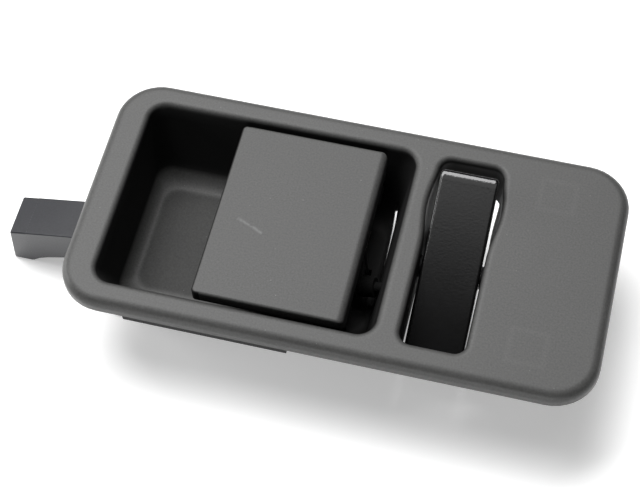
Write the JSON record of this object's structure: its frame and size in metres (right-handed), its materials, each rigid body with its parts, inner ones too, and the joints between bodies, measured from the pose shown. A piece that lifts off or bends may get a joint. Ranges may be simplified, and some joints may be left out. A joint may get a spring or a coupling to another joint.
{
  "type": "car door handle",
  "caption": "Flush pull handle for a vehicle door: bezel with finger cup, hinged paddle, sliding release bar with a raised arm, and a tilting lock rocker.",
  "frame": {"origin": "middle of the bezel's outline, in the plane of its seat on the door panel", "axes": "+Z out of the panel towards the user, +X along the long side from the finger cup to the rocker, +Y along the short side"},
  "size_m": [0.2161, 0.093, 0.0449],
  "materials": {
    "bezel_plastic": "fine grained moulded plastic",
    "paddle_plastic": "fine grained moulded plastic",
    "dark_plastic": "satin dark plastic",
    "arm_plastic": "bluish dark moulded plastic",
    "key_plastic": "satin dark key with a glossy edge",
    "white_plastic": "natural nylon",
    "zinc_steel": "zinc plated steel",
    "spring_steel": "oiled spring steel",
    "brass": "turned brass",
    "rubber": "matt rubber"
  },
  "bodies": {
    "root": {"bezel": "bezel_plastic", "carrier": "dark_plastic", "carrier_screws": "zinc_steel", "hinge_pin": "zinc_steel", "hinge_clip": "spring_steel", "hinge_washers": "dark_plastic", "paddle_spring": "spring_steel", "stop_bumper": "rubber", "rocker_pin": "zinc_steel", "rocker_pin_clip": "spring_steel", "rocker_washers": "dark_plastic", "detent_spring": "spring_steel", "detent_screw": "zinc_steel", "threaded_inserts": "brass", "tower_clips": "spring_steel"},
    "paddle": {"paddle_cap": "paddle_plastic", "paddle_core": "dark_plastic", "paddle_screws": "zinc_steel", "crank_pin": "zinc_steel", "crank_roller": "dark_plastic"},
    "bar": {"release_bar": "arm_plastic", "bar_end_cap": "arm_plastic"},
    "rocker": {"rocker": "key_plastic", "lock_lever": "zinc_steel", "lock_rod_clip": "white_plastic"}
  },
  "joints": [
    {"name": "paddle_hinge", "type": "hinge", "parent": "root", "child": "paddle", "pos_m": [0.001, 0, -0.009], "axis": [0, 1, 0], "range_deg": [0, 26], "stiffness_Nm_per_rad": 0.6, "springref_deg": -20.05, "deforming": ["paddle_spring"]},
    {"name": "bar_slide", "type": "slide", "parent": "root", "child": "bar", "axis": [-1, 0, 0], "range_m": [0, 0.0091]},
    {"name": "rocker_tilt", "type": "hinge", "parent": "root", "child": "rocker", "pos_m": [0.03715, -0.0015, -0.005], "axis": [1, 0, 0], "range_deg": [-34, 0]}
  ],
  "couplings": [
    {"joint": "bar_slide", "follows": "paddle_hinge", "m_per_rad": 0.01983}
  ]
}
